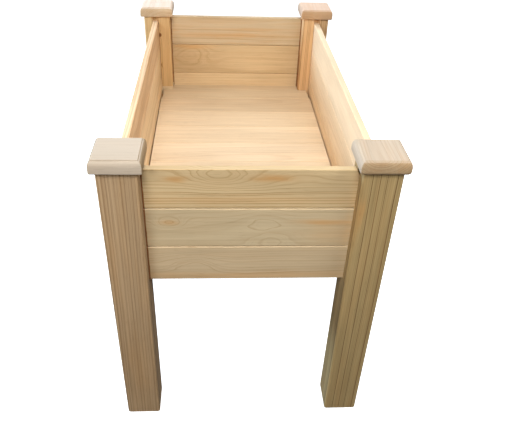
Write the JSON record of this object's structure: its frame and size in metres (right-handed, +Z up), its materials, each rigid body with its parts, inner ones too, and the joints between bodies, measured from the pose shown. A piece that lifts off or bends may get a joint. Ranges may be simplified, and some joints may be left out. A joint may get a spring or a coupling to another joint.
{
  "type": "raised planter",
  "caption": "Raised timber planter: an open box of tongue-and-groove boards held between square posts with moulded caps.",
  "frame": {"origin": "on the ground, in the middle of the planter between its four posts", "axes": "+Z up, +Y along the long side towards the rear end, +X across the width to the right when seen from the front end"},
  "size_m": [0.676, 1.171, 0.8323],
  "materials": {
    "post_pine": "planed, unfinished, tan brown",
    "cap_pine": "moulded and sanded, unfinished, pale cream",
    "wall_pine": "planed, unfinished, honey",
    "floor_pine": "planed, unfinished, pale peach",
    "bearer_pine": "sawn square, unfinished",
    "dowel_beech": "smooth turned dowel",
    "zinc_plate": "yellow passivated zinc plate, satin"
  },
  "bodies": {
    "root": {"cap_dowel_front_left": "dowel_beech", "cap_dowel_front_right": "dowel_beech", "cap_dowel_rear_left": "dowel_beech", "cap_dowel_rear_right": "dowel_beech", "cap_front_left": "cap_pine", "cap_front_right": "cap_pine", "cap_rear_left": "cap_pine", "cap_rear_right": "cap_pine", "centre_bearer": "bearer_pine", "end_cleat_front": "bearer_pine", "end_cleat_rear": "bearer_pine", "end_cleat_screw_front_1": "zinc_plate", "end_cleat_screw_front_2": "zinc_plate", "end_cleat_screw_rear_1": "zinc_plate", "end_cleat_screw_rear_2": "zinc_plate", "floor_board_1": "floor_pine", "floor_board_2": "floor_pine", "floor_board_3": "floor_pine", "floor_board_4": "floor_pine", "floor_board_5": "floor_pine", "floor_board_6": "floor_pine", "floor_board_7": "floor_pine", "floor_board_8": "floor_pine", "floor_board_9": "floor_pine", "front_wall_board_bottom": "wall_pine", "front_wall_board_middle": "wall_pine", "front_wall_board_top": "wall_pine", "lap_screw_front": "zinc_plate", "lap_screw_rear": "zinc_plate", "left_wall_board_bottom": "wall_pine", "left_wall_board_middle": "wall_pine", "left_wall_board_top": "wall_pine", "post_front_left": "post_pine", "post_front_right": "post_pine", "post_rear_left": "post_pine", "post_rear_right": "post_pine", "rear_wall_board_bottom": "wall_pine", "rear_wall_board_middle": "wall_pine", "rear_wall_board_top": "wall_pine", "right_wall_board_bottom": "wall_pine", "right_wall_board_middle": "wall_pine", "right_wall_board_top": "wall_pine", "side_bearer_left": "bearer_pine", "side_bearer_right": "bearer_pine", "side_bearer_screw_left_1": "zinc_plate", "side_bearer_screw_left_2": "zinc_plate", "side_bearer_screw_left_3": "zinc_plate", "side_bearer_screw_left_4": "zinc_plate", "side_bearer_screw_right_1": "zinc_plate", "side_bearer_screw_right_2": "zinc_plate", "side_bearer_screw_right_3": "zinc_plate", "side_bearer_screw_right_4": "zinc_plate"}
  },
  "joints": []
}
